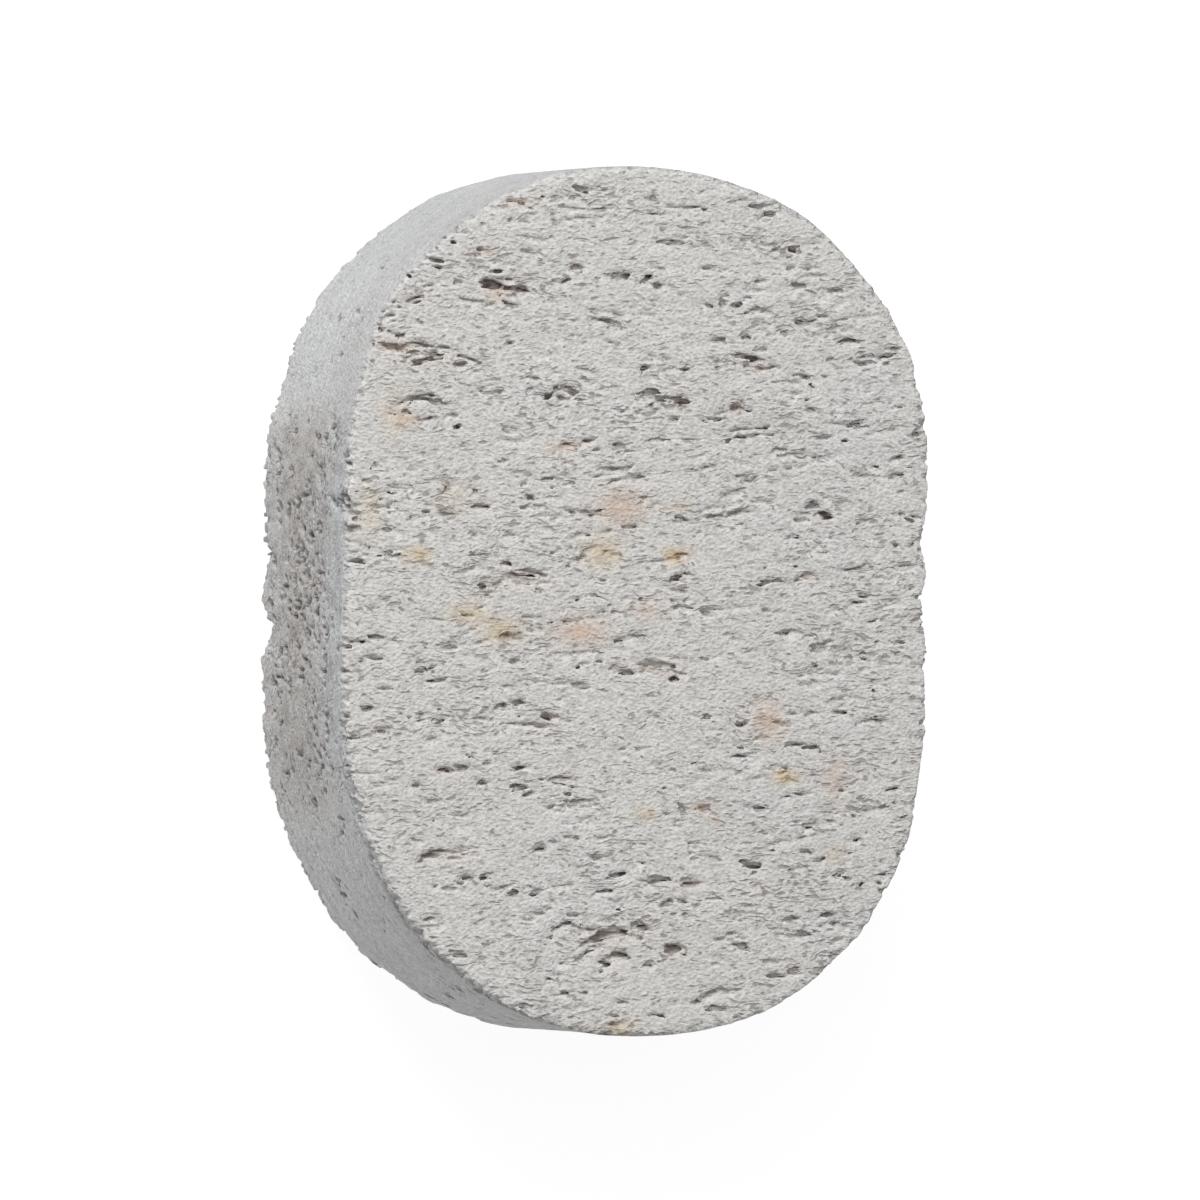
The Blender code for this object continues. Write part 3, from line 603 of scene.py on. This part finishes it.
def carve_wall_pits(block, random):
    """The pits of the left wall placed where the photograph shows them."""
    for middle, level, length, height in WALL_PITS:
        for _ in range(WALL_PIT_PARTS):
            part = random.uniform(0.5, 0.9)
            y = middle + random.normal(0, 0.25) * length
            z = level + random.normal(0, 0.25) * height
            angle = math.pi - math.atan2(y, OVAL_WIDTH / 2)
            carve(block, (*on_wall(angle, z), z),
                  (random.uniform(1.2, 2.4), part * length, 1.2 * part * height), 0, 0)


# ---- surface

def rounded(wall, cap, rim):
    """Distance to a bar from the distances to its wall and its face, with a rounded rim."""
    a, b = wall + rim, cap + rim
    return np.minimum(np.maximum(a, b), 0) + np.hypot(np.maximum(a, 0), np.maximum(b, 0)) - rim


def fill(block, random):
    """The plain bar with worn rims, less the hollows, roughened layer by layer."""
    x = block.x[:, None] + CENTRE[0]
    y = block.y[None, :] + CENTRE[1]
    angle = np.arctan2(y, x)
    radius = np.hypot(x, y).astype(np.float32)
    slope = np.gradient(WALL[0], ANGLES) / WALL[0]
    steep = np.interp(angle, ANGLES, 1 / np.hypot(1, slope)).astype(np.float32)
    terms = [np.interp(angle, ANGLES, term).astype(np.float32) for term in WALL]
    torn = torn_walls(np.degrees(angle) % 360).astype(np.float32)
    worn = (1 - CRISP_SHARE * crisp_rims(angle)).astype(np.float32)
    relief = Relief(random, block)
    rim_noise = Noise(random, block, (1.0, 0.8, 0.8))
    for k, z in enumerate(block.z):
        height = min(max(z / THICKNESS, 0), 1)
        wall = (radius - wall_radius(terms, height)) * steep
        cap = np.float32(abs(z - THICKNESS / 2) - THICKNESS / 2)
        rim = RIM_RADIUS + 0.25 * rim_noise.layer(k)
        if z > THICKNESS / 2:
            rim = (rim - FRONT_RIM_LESS) * worn
        shape = rounded(wall, cap, np.clip(rim, *RIM_LIMITS))
        hollow = block.hollow[k] + np.float32(0.09) * relief.ragged.layer(k)
        distance = np.maximum(shape, hollow)
        i, j = np.nonzero(np.abs(distance) < NEAR)
        on_cap = smoothstep(-0.8, 0.5, cap - wall[i, j])
        rough = on_cap + (1 - on_cap) * (0.5 + 0.5 * torn[i, j])
        inside = smoothstep(0.12, 0.45, -shape[i, j]) * smoothstep(-0.5, 0.1, hollow[i, j])
        distance[i, j] += relief.at(k, i, j, rough, inside)
        block.distance[k] = distance


def make_mesh(block):
    """The closed surface of the block as a mesh in millimetres."""
    grid = openvdb.FloatGrid(1.0)
    grid.copyFromArray(block.distance)
    points, _, quads = grid.convertToPolygons(isovalue=0.0, adaptivity=0.0)
    points = (points * block.step + block.low)[:, [1, 2, 0]].astype(np.float32)
    mesh = bpy.data.meshes.new("pumice_surface")
    mesh.vertices.add(len(points))
    mesh.vertices.foreach_set("co", points.ravel())
    mesh.loops.add(len(quads) * 4)
    mesh.loops.foreach_set("vertex_index", quads[:, ::-1].astype(np.int32).ravel())
    mesh.polygons.add(len(quads))
    mesh.polygons.foreach_set("loop_start", np.arange(0, len(quads) * 4, 4, dtype=np.int32))
    mesh.update(calc_edges=True)
    return mesh


def places_of(mesh):
    """The places of the vertices, one row each."""
    places = np.empty(len(mesh.vertices) * 3, np.float32)
    mesh.vertices.foreach_get("co", places)
    return places.reshape(-1, 3)


def squeeze(mesh, scale):
    """Scale the depth of the back face and of the right wall, about SQUEEZE_LINE."""
    places = places_of(mesh)
    back, right = SQUEEZE_LINE
    x, z = places[:, 0], places[:, 2]
    x[x > right] = right + (x[x > right] - right) * scale
    z[z < back] = back + (z[z < back] - back) * scale
    mesh.vertices.foreach_set("co", places.ravel())


def thin_out(stone):
    """Bring the mesh down to FACE_LIMIT triangles. The sides that the photograph doesn't show
    are squeezed meanwhile, so that they keep fewer of them."""
    squeeze(stone.data, SQUEEZE)
    thin = stone.modifiers.new("fewer faces", "DECIMATE")
    thin.ratio = min(1, FACE_LIMIT / (2 * len(stone.data.polygons)))
    bpy.context.view_layer.update()
    graph = bpy.context.evaluated_depsgraph_get()
    mesh = bpy.data.meshes.new_from_object(stone.evaluated_get(graph))
    stone.modifiers.clear()
    stone.data = mesh
    squeeze(stone.data, 1 / SQUEEZE)


def drop_crumbs(mesh):
    """Keep only the largest connected part: no loose crumbs and no closed bubbles."""
    ends = np.empty(len(mesh.edges) * 2, np.int32)
    mesh.edges.foreach_get("vertices", ends)
    first, second = ends.reshape(-1, 2).T
    part = np.arange(len(mesh.vertices))
    while True:
        lower = part.copy()
        least = np.minimum(part[first], part[second])
        np.minimum.at(lower, first, least)
        np.minimum.at(lower, second, least)
        np.minimum.at(lower, part, lower)
        lower = lower[lower]
        if (lower == part).all():
            break
        part = lower
    names, counts = np.unique(part, return_counts=True)
    loose = np.nonzero(part != names[counts.argmax()])[0]
    shape = bmesh.new()
    shape.from_mesh(mesh)
    shape.verts.ensure_lookup_table()
    bmesh.ops.delete(shape, geom=[shape.verts[i] for i in loose], context="VERTS")
    shape.to_mesh(mesh)
    shape.free()


# ---- marks for the material

def box_mean(values, axis, reach):
    """Mean of each sample and of so many neighbours on both sides along one axis."""
    values = np.moveaxis(values, axis, 0)
    total = np.cumsum(values, axis=0, dtype=np.float32)
    mean = values.copy()
    wide = 2 * reach + 1
    mean[reach + 1:-reach] = (total[wide:] - total[:-wide]) / wide
    return np.moveaxis(mean, 0, axis)


def stone_around(block):
    """Share of stone round each sample: a half on a flat face and more down in a pore."""
    share = (block.distance < 0).astype(np.float32)
    for _ in range(2):
        for axis, reach in enumerate(REACH):
            share = box_mean(share, axis, max(1, round(reach / VOXEL[axis])))
    return share


def stain_at(x, y, stains):
    """How strongly stains tint each place: soft ovals that add up."""
    return sum(much * np.exp(-((x - x0) / wide) ** 2 - ((y - y0) / high) ** 2)
               for x0, y0, wide, high, much in stains)


def halos():
    """A faint rusty tint round each large pore."""
    return [(x, y, 0.6 * length, 0.9 * height, 0.15) for x, y, length, height, *_
            in FRONT_PORES + BENT_PORES if height >= 0.7]


def mark_places(mesh, block):
    """Write what the material needs to know at each vertex, with lengths in millimetres."""
    places = places_of(mesh)
    nearest = ((places[:, [2, 0, 1]] - block.low) / block.step + 0.5).astype(int)
    share = stone_around(block)[tuple(nearest.T)]
    x, y, z = places.T
    x, y = x + CENTRE[0], y + CENTRE[1]
    angle, radius = np.arctan2(y, x), np.hypot(x, y)
    terms = [np.interp(angle, ANGLES, term) for term in WALL]
    to_wall = wall_radius(terms, np.clip(z / THICKNESS, 0, 1)) - radius
    to_cap = np.minimum(z, THICKNESS - z)
    front = smoothstep(0.6 * THICKNESS, 0.95 * THICKNESS, z)
    marks = {
        "depth": np.minimum(to_wall, to_cap),
        "wall": smoothstep(-0.4, 0.5, to_cap - to_wall - 0.9 * crisp_rims(angle) * (z > 5)),
        "smooth": 1 - torn_walls(np.degrees(angle) % 360),
        # How closed in each place is, which the painted shade of the pores reads.
        "painted_shade_cavity": 2 * share - 1,
        "around": radius * angle,
        "ochre": front * stain_at(x, y, OCHRE_STAINS),
        "rust": front * (stain_at(x, y, RUST_STAINS) + stain_at(x, y, halos())),
    }
    for name, values in marks.items():
        mark = mesh.attributes.new(name, "FLOAT", "POINT")
        mark.data.foreach_set("value", values.astype(np.float32))


def make_stone():
    """The whole stone as one object, carved, thinned out and marked."""
    block = Block()
    chosen, front, back, wall, rims, groove, relief = [
        np.random.default_rng((SEED, number)) for number in range(7)]
    carve_chosen(block, chosen)
    carve_face(block, front, FRONT_SLITS, THICKNESS)
    carve_face(block, back, BACK_SLITS, 0)
    carve_pinholes(block, wall)
    carve_wall_pits(block, wall)
    carve_rims(block, rims)
    carve_groove(block, groove)
    fill(block, relief)
    stone = bpy.data.objects.new("pumice_surface", make_mesh(block))
    bpy.context.scene.collection.objects.link(stone)
    thin_out(stone)
    drop_crumbs(stone.data)
    stone.data.shade_smooth()
    mark_places(stone.data, block)
    stone.data.transform(Matrix.Scale(MM, 4))
    return stone


# ---- looks

class Nodes:
    """Short ways to add the nodes of one material."""

    def __init__(self, name):
        self.material = bpy.data.materials.new(name)
        self.material.use_nodes = True
        self.tree = self.material.node_tree
        self.shader = self.tree.nodes["Principled BSDF"]

    def put(self, socket, value):
        """Link a socket to another one, or set its value."""
        if isinstance(value, bpy.types.NodeSocket):
            self.tree.links.new(value, socket)
        else:
            socket.default_value = value

    def add(self, kind, **inputs):
        node = self.tree.nodes.new(kind)
        for name, value in inputs.items():
            self.put(node.inputs[name.replace("_", " ")], value)
        return node

    def finish(self, **inputs):
        """Put the inputs of the shader itself and give the material back."""
        for name, value in inputs.items():
            self.put(self.shader.inputs[name.replace("_", " ")], value)
        return self.material

    def math(self, operation, *values):
        node = self.tree.nodes.new("ShaderNodeMath")
        node.operation = operation
        for socket, value in zip(node.inputs, values):
            self.put(socket, value)
        return node.outputs[0]

    def times(self, first, second):
        return self.math("MULTIPLY", first, second)

    def vector(self, operation, *values):
        node = self.tree.nodes.new("ShaderNodeVectorMath")
        node.operation = operation
        for socket, value in zip(node.inputs, values):
            self.put(socket, value)
        return node.outputs[0]

    def attribute(self, name):
        node = self.tree.nodes.new("ShaderNodeAttribute")
        node.attribute_name = name
        return node.outputs["Fac"]

    def noise(self, place, grain, detail=2.0, rough=0.5):
        """Noise of about 0 to 1 whose grain is so many millimetres long in x, y and z."""
        scale = self.vector("MULTIPLY", place, tuple(1 / length for length in grain))
        node = self.add("ShaderNodeTexNoise", Vector=scale, Scale=1.0, Detail=detail,
                        Roughness=rough)
        return node.outputs["Fac"]

    def ramp(self, value, low, high, start=0.0, end=1.0):
        """A smooth change from start to end while the value goes from low to high."""
        node = self.tree.nodes.new("ShaderNodeMapRange")
        node.interpolation_type = "SMOOTHSTEP"
        for socket, item in zip(node.inputs, (value, low, high, start, end)):
            self.put(socket, item)
        return node.outputs["Result"]

    def mix(self, share, first, second):
        """The first colour with a share of 0 to 1 of the second."""
        node = self.tree.nodes.new("ShaderNodeMix")
        node.data_type = "RGBA"
        for number, value in ((0, share), (6, first), (7, second)):
            self.put(node.inputs[number], value)
        return node.outputs[2]

    def paint(self, color, *coats):
        """A colour under coats, each a share and a colour of its own."""
        for share, coat in coats:
            color = self.mix(share, color, coat)
        return color


class Pumice(Nodes):
    """The stone's material: its parts share places in millimetres, marks and noises."""

    def __init__(self):
        super().__init__("pumice")
        self.place = self.vector("SCALE", self.add("ShaderNodeTexCoord").outputs["Object"])
        self.place.node.inputs["Scale"].default_value = 1 / MM
        wave = self.math("MULTIPLY_ADD", self.noise(self.place, (3.5, 2.0, 2.5), 1.0), 2.4, -1.2)
        shift = self.add("ShaderNodeCombineXYZ", Y=wave, Z=wave).outputs[0]
        self.bent = self.vector("ADD", self.place, shift)
        split = self.add("ShaderNodeSeparateXYZ", Vector=self.place)
        self.across, self.along, self.level = split.outputs

        self.wall = self.attribute("wall")
        self.smooth = self.attribute("smooth")
        self.calm = self.times(self.wall, self.times(self.smooth, 0.9))
        self.torn = self.math("SUBTRACT", 1.0, self.calm)

        self.dashes = self.dark_dashes()
        self.fibres = self.noise(self.bent, (0.9, 0.38, 0.40), 1.0, 0.4)
        self.crumbs = self.noise(self.place, (0.36, 0.31, 0.31), 1.0, 0.4)
        around = self.add("ShaderNodeCombineXYZ", X=self.attribute("around"), Z=self.level)
        self.lines = self.noise(around.outputs[0], (6.0, 1.0, 0.36), 1.0, 0.6)

    def dark_dashes(self):
        """Fine open slits along the fibres, in drifts, on all but the smooth walls."""
        where = self.noise(self.place, (6.0, 2.6, 4.0), 2.0, 0.6)
        dashes = self.noise(self.bent, (1.1, 0.33, 0.38), 1.0, 0.4)
        dashes = self.ramp(self.math("MULTIPLY_ADD", where, 0.5, dashes), 0.67, 0.52)
        return self.times(dashes, self.torn)

    def bump(self):
        """Slits, fibres and crumbs on torn stone, and fine lines round the smooth walls."""
        height = self.math("MULTIPLY_ADD", self.dashes, -0.45, self.times(self.fibres, 0.7))
        height = self.times(height, self.torn)
        height = self.math("MULTIPLY_ADD", self.times(self.lines, 1.9), self.calm, height)
        rough = self.math("MULTIPLY_ADD", self.calm, 0.9, 1.3)
        height = self.math("ADD", height, self.times(self.crumbs, rough))
        return self.add("ShaderNodeBump", Height=height, Strength=1.0, Distance=BUMP * MM)

    def face_color(self):
        """Pale grey with warmer parts, a little darker to the right."""
        tint = self.noise(self.place, (16.0, 12.0, 12.0), 2.0, 0.6)
        return self.paint(
            FACE,
            (self.ramp(tint, 0.35, 0.65), FACE_WARM),
            (self.ramp(self.across, -5.0, 30.0, 0.0, 0.09), FACE_SHADE))

    def torn_color(self):
        """The torn walls: browner streaks and a band half way up, paler at both rims."""
        streaks = self.noise(self.place, (3.0, 4.0, 1.4), 2.0, 0.6)
        band = self.times(self.ramp(self.level, 3.0, 9.0), self.ramp(self.level, 20.0, 13.0))
        return self.paint(
            TORN,
            (self.ramp(self.level, 15.0, 24.0), TORN_FRONT),
            (self.ramp(streaks, 0.48, 0.64, 0.0, 0.35), TORN_STREAK),
            (self.times(band, 0.18), TORN_BAND),
            (self.ramp(self.level, 9.0, 2.0, 0.0, 0.6), TORN_BACK))

    def worn_color(self):
        """The smooth walls: painted shade at the lower end and towards the front rim, and darker
        at the upper end.
        """
        return self.paint(
            # Painted shade: darker at the lower end of the smooth walls.
            WORN_LOW_END_PAINTED_SHADE,
            (self.ramp(self.along, -44.0, -22.0), WORN),
            (self.ramp(self.along, 29.0, 40.0, 0.0, 0.75), WORN_TOP),
            # Painted shade: darker towards the front rim.
            (self.ramp(self.level, 8.0, 26.0, 0.0, 0.28), WORN_FRONT_PAINTED_SHADE))

    def wall_color(self):
        """Torn and smooth walls, with a pale patch where they meet at the lower end."""
        pale = self.times(self.ramp(self.along, -28.0, -22.5), self.ramp(self.along, -16.0, -21.5))
        return self.paint(
            self.torn_color(),
            (self.smooth, self.worn_color()),
            (self.times(pale, 0.3), PALE))

    def grain(self, color):
        """Patches, crumbs, fibres and dashes, and on the smooth walls lines and specks. The dashes
        are darkened partly as their own dark tone and partly as painted shade in the slits.
        """
        patches = self.noise(self.place, (7.0, 3.0, 4.0), 2.0)
        specks = self.noise(self.place, (0.5, 0.5, 0.5), 2.0, 0.6)
        specks = self.ramp(specks, 0.57, 0.72, 0.0, 0.7)
        return self.paint(
            color,
            (self.ramp(patches, 0.35, 0.65, 0.0, 0.08), PATCH),
            (self.ramp(self.crumbs, 0.55, 0.3, 0.0, 0.34), DARK_CRUMB),
            (self.ramp(self.crumbs, 0.55, 0.75, 0.0, 0.44), LIGHT_CRUMB),
            (self.ramp(self.fibres, 0.5, 0.3, 0.0, 0.28), FIBRE),
            (self.times(self.ramp(self.lines, 0.5, 0.3, 0.0, 0.35), self.calm), DARK_LINE),
            (self.times(self.ramp(self.lines, 0.5, 0.7, 0.0, 0.3), self.calm), LIGHT_LINE),
            (self.times(specks, self.calm), SPECK),
            # The slits' dark is partly their own tone and partly painted shade.
            (self.times(self.dashes, 0.6), DASH_TINT_AND_SHADE))

    def stains(self, color):
        """Ochre and rusty stains, broken up into flecks."""
        flecks = self.ramp(self.noise(self.place, (0.9, 0.5, 0.5), 3.0, 0.7), 0.25, 0.5)
        return self.paint(
            color,
            (self.times(self.attribute("ochre"), flecks), OCHRE),
            (self.times(self.attribute("rust"), flecks), RUST))

    def pores(self, color):
        """Painted shade in the hollows, over some dark brown tone of their own, with lighter
        threads across them.
        """
        threads = self.noise(self.bent, (2.2, 0.18, 0.24), 1.0, 0.5)
        # Painted shade: the more closed in and the deeper a place lies, the darker it is painted.
        pore = self.times(self.ramp(self.attribute("painted_shade_cavity"), 0.05, 0.7),
                          self.ramp(threads, 0.60, 0.42, 0.25, 1.0))
        deep = self.ramp(self.attribute("depth"), 0.4, 1.3, 0.0, 0.7)
        return self.paint(color, (self.math("MAXIMUM", pore, deep), PORE_TINT_AND_PAINTED_SHADE))


def pumice_material():
    """Face and walls under the grain, the stains and the painted shade of the pores."""
    pumice = Pumice()
    color = pumice.mix(pumice.wall, pumice.face_color(), pumice.wall_color())
    color = pumice.pores(pumice.stains(pumice.grain(color)))
    return pumice.finish(Base_Color=color, Normal=pumice.bump().outputs[0], Roughness=0.95,
                         Specular_IOR_Level=0.2)


# ---- studio

def add_camera():
    """The photograph's camera: turned about the stone's length, level with its face's centre."""
    data = bpy.data.cameras.new("camera")
    data.sensor_width = SENSOR
    data.lens = CAMERA_LENS
    data.clip_end = CLIP_END
    camera = bpy.data.objects.new("camera", data)
    bpy.context.scene.collection.objects.link(camera)
    sine, cosine = math.sin(CAMERA_TURN), math.cos(CAMERA_TURN)
    back = Vector((-sine, 0, cosine))
    right = Vector((cosine, 0, sine))
    up = Vector((0, 1, 0))
    middle = Vector((-CENTRE[0] * MM, -CENTRE[1] * MM, THICKNESS * MM))
    aside = (PHOTO_CENTRE - FACE_CENTRE_PIXEL[0]) / PIXELS_PER_METRE
    above = (FACE_CENTRE_PIXEL[1] - PHOTO_CENTRE) / PIXELS_PER_METRE
    place = middle + back * CAMERA_DISTANCE + right * aside + up * above
    turn = Matrix((right, up, back)).transposed().to_4x4()
    camera.matrix_world = Matrix.Translation(place) @ turn
    bpy.context.scene.camera = camera


def add_light(name, direction, distance, size, power):
    """A soft square light of so many watts, which shines on the stone from that direction."""
    data = bpy.data.lights.new(name, "AREA")
    data.size = size
    data.energy = power
    light = bpy.data.objects.new(name, data)
    bpy.context.scene.collection.objects.link(light)
    direction = Vector(direction).normalized()
    light.location = direction * distance
    light.rotation_euler = direction.to_track_quat("Z", "Y").to_euler()
    light.visible_camera = False


def add_world():
    """White light from all round, stronger from +Y, which is the photograph's top."""
    world = bpy.data.worlds.new("studio")
    world.use_nodes = True
    world.node_tree.nodes["Background"].inputs["Color"].default_value = (1, 1, 1, 1)
    nodes, links = world.node_tree.nodes, world.node_tree.links
    place = nodes.new("ShaderNodeTexCoord")
    split = nodes.new("ShaderNodeSeparateXYZ")
    level = nodes.new("ShaderNodeMapRange")
    for socket, value in zip(level.inputs[1:5], (-1.0, 1.0, *WORLD_STRENGTH)):
        socket.default_value = value
    links.new(place.outputs["Generated"], split.inputs[0])
    links.new(split.outputs["Y"], level.inputs[0])
    links.new(level.outputs[0], nodes["Background"].inputs["Strength"])
    bpy.context.scene.world = world


def add_floor():
    """A plain floor just under the stone."""
    side = FLOOR_HALF_SIDE
    mesh = bpy.data.meshes.new("floor")
    mesh.from_pydata([(-side, -side, 0), (side, -side, 0), (side, side, 0), (-side, side, 0)], [],
                     [(0, 1, 2, 3)])
    grey = (FLOOR_GREY, FLOOR_GREY, FLOOR_GREY, 1)
    mesh.materials.append(Nodes("floor").finish(
        Base_Color=grey, Roughness=0.9, Emission_Color=(1, 1, 1, 1), Emission_Strength=FLOOR_GLOW))
    floor = bpy.data.objects.new("floor", mesh)
    floor.location = (0, 0, -FLOOR_DROP * MM)
    bpy.context.scene.collection.objects.link(floor)


stone = make_stone()
stone.data.materials.append(pumice_material())
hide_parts("pumice_stone")
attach(stone, "root")

add_camera()
add_floor()
add_world()
for light_name, light_values in LIGHTS.items():
    add_light(light_name, *light_values)
bpy.context.scene.view_settings.view_transform = "Standard"
